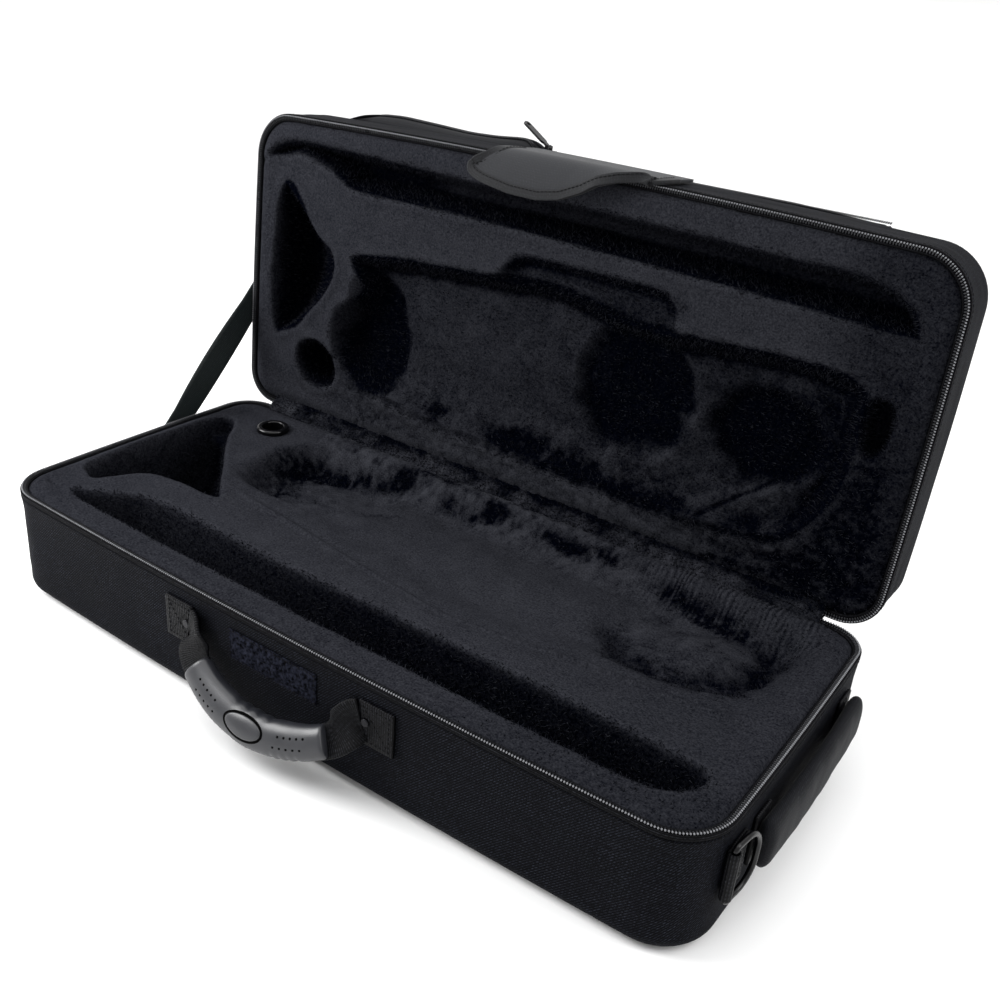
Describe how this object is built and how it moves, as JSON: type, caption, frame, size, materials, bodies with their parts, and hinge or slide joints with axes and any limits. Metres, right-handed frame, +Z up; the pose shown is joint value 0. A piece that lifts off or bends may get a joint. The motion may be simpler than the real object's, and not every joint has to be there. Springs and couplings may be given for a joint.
{
  "type": "trumpet case",
  "caption": "Open soft-sided instrument case with moulded plush recesses, zip all round, carry handle, end handle, strap rings and outer pocket.",
  "frame": {"origin": "middle of the underside of the base, on the resting plane", "axes": "+X along the case's length, to the right seen from the front; -Y out of the front wall with the carry handle; +Z up"},
  "size_m": [0.5883, 0.3581, 0.3392],
  "materials": {
    "nylon": "black woven nylon twill",
    "foam_board": "black rigid foam board",
    "plush": "black short-pile plush over moulded foam",
    "zip_tape": "black woven polyester tape",
    "zip_coil": "black nylon monofilament coil",
    "gloss_plastic": "glossy black moulded plastic",
    "hook_and_loop": "black loop and hook tape",
    "webbing": "black ribbed polypropylene webbing",
    "stay_webbing": "black flat webbing with a green cast",
    "binding": "black woven binding tape",
    "rivet_metal": "bright rivet cap",
    "grip_rubber": "soft-touch dark gray rubber",
    "badge_plastic": "satin dark gray plastic",
    "black_metal": "glossy black lacquered zinc"
  },
  "bodies": {
    "base": {"base_cover": "nylon", "base_shell": "foam_board", "base_liner": "plush", "base_zip_tape": "zip_tape", "base_zip_coil": "zip_coil", "mouthpiece_ring": "gloss_plastic", "front_loop_patch": "hook_and_loop", "handle_anchor_left": "webbing", "handle_anchor_right": "webbing", "handle_rivets": "rivet_metal", "end_handle_pad": "nylon", "end_handle_tabs": "webbing", "d_ring_loop_right": "webbing", "d_ring_loop_left": "webbing", "stay_anchor_base": "webbing", "hinge_fabric": "nylon", "hinge_lining": "plush", "stay_strap": "stay_webbing"},
    "lid": {"lid_cover": "nylon", "lid_shell": "foam_board", "lid_liner": "plush", "lid_zip_tape": "zip_tape", "lid_zip_coil": "zip_coil", "pocket_bag": "nylon", "pocket_zip_tape": "zip_tape", "pocket_zip_coil": "zip_coil", "flap_root": "nylon", "stay_anchor_lid": "webbing"},
    "flap": {"flap_panel": "nylon", "flap_binding": "binding", "flap_hook_strip": "hook_and_loop"},
    "carry_handle": {"handle_grip": "grip_rubber", "grip_badge": "badge_plastic", "handle_webbing_left": "webbing", "handle_webbing_right": "webbing"},
    "d_ring_right": {"d_ring_right": "black_metal"},
    "d_ring_left": {"d_ring_left": "black_metal"},
    "main_slider_right": {"zip_slider_right": "black_metal"},
    "main_slider_left": {"zip_slider_left": "black_metal"},
    "main_pull_right": {"zip_pull_right": "black_metal"},
    "main_pull_left": {"zip_pull_left": "black_metal"},
    "pocket_slider": {"pocket_slider": "black_metal"},
    "pocket_pull": {"pocket_pull": "black_metal"}
  },
  "joints": [
    {"name": "lid_hinge", "type": "hinge", "parent": "base", "child": "lid", "pos_m": [0, 0.119, 0.084], "axis": [1, 0, 0], "range_deg": [0, 94.5], "deforming": ["stay_strap", "hinge_fabric", "hinge_lining"]},
    {"name": "flap_fold", "type": "hinge", "parent": "lid", "child": "flap", "pos_m": [0.008, 0.13674, 0.33102], "axis": [-1, 0, 0], "range_deg": [0, 72]},
    {"name": "carry_handle_swing", "type": "hinge", "parent": "base", "child": "carry_handle", "pos_m": [-0.0015, -0.12535, 0.057], "axis": [-1, 0, 0], "range_deg": [-6, 80], "deforming": ["handle_webbing_left", "handle_webbing_right"]},
    {"name": "d_ring_right_swing", "type": "hinge", "parent": "base", "child": "d_ring_right", "pos_m": [0.2845, -0.092, 0.051], "axis": [0, 0, -1], "range_deg": [0, 110]},
    {"name": "d_ring_left_swing", "type": "hinge", "parent": "base", "child": "d_ring_left", "pos_m": [-0.2845, -0.092, 0.051], "axis": [0, 0, 1], "range_deg": [0, 110]},
    {"name": "main_slider_right_run", "type": "slide", "parent": "base", "child": "main_slider_right", "axis": [1, 0, 0], "range_m": [-0.01, 0.015]},
    {"name": "main_slider_left_run", "type": "slide", "parent": "base", "child": "main_slider_left", "axis": [-1, 0, 0], "range_m": [-0.01, 0.015]},
    {"name": "main_pull_right_swing", "type": "hinge", "parent": "main_slider_right", "child": "main_pull_right", "pos_m": [0.223, 0.12665, 0.0746], "axis": [1, 0, 0], "range_deg": [-6, 80]},
    {"name": "main_pull_left_swing", "type": "hinge", "parent": "main_slider_left", "child": "main_pull_left", "pos_m": [-0.223, 0.12665, 0.0746], "axis": [1, 0, 0], "range_deg": [-6, 80]},
    {"name": "pocket_slider_run", "type": "slide", "parent": "lid", "child": "pocket_slider", "axis": [1, 0, 0], "range_m": [-0.155, 0.24]},
    {"name": "pocket_pull_swing", "type": "hinge", "parent": "pocket_slider", "child": "pocket_pull", "pos_m": [-0.044, 0.19829, 0.32424], "axis": [0, 0.9969, -0.0785], "range_deg": [-25, 110]}
  ],
  "couplings": [
    {"joint": "flap_fold", "follows": "lid_hinge", "ratio": 0.76191}
  ]
}
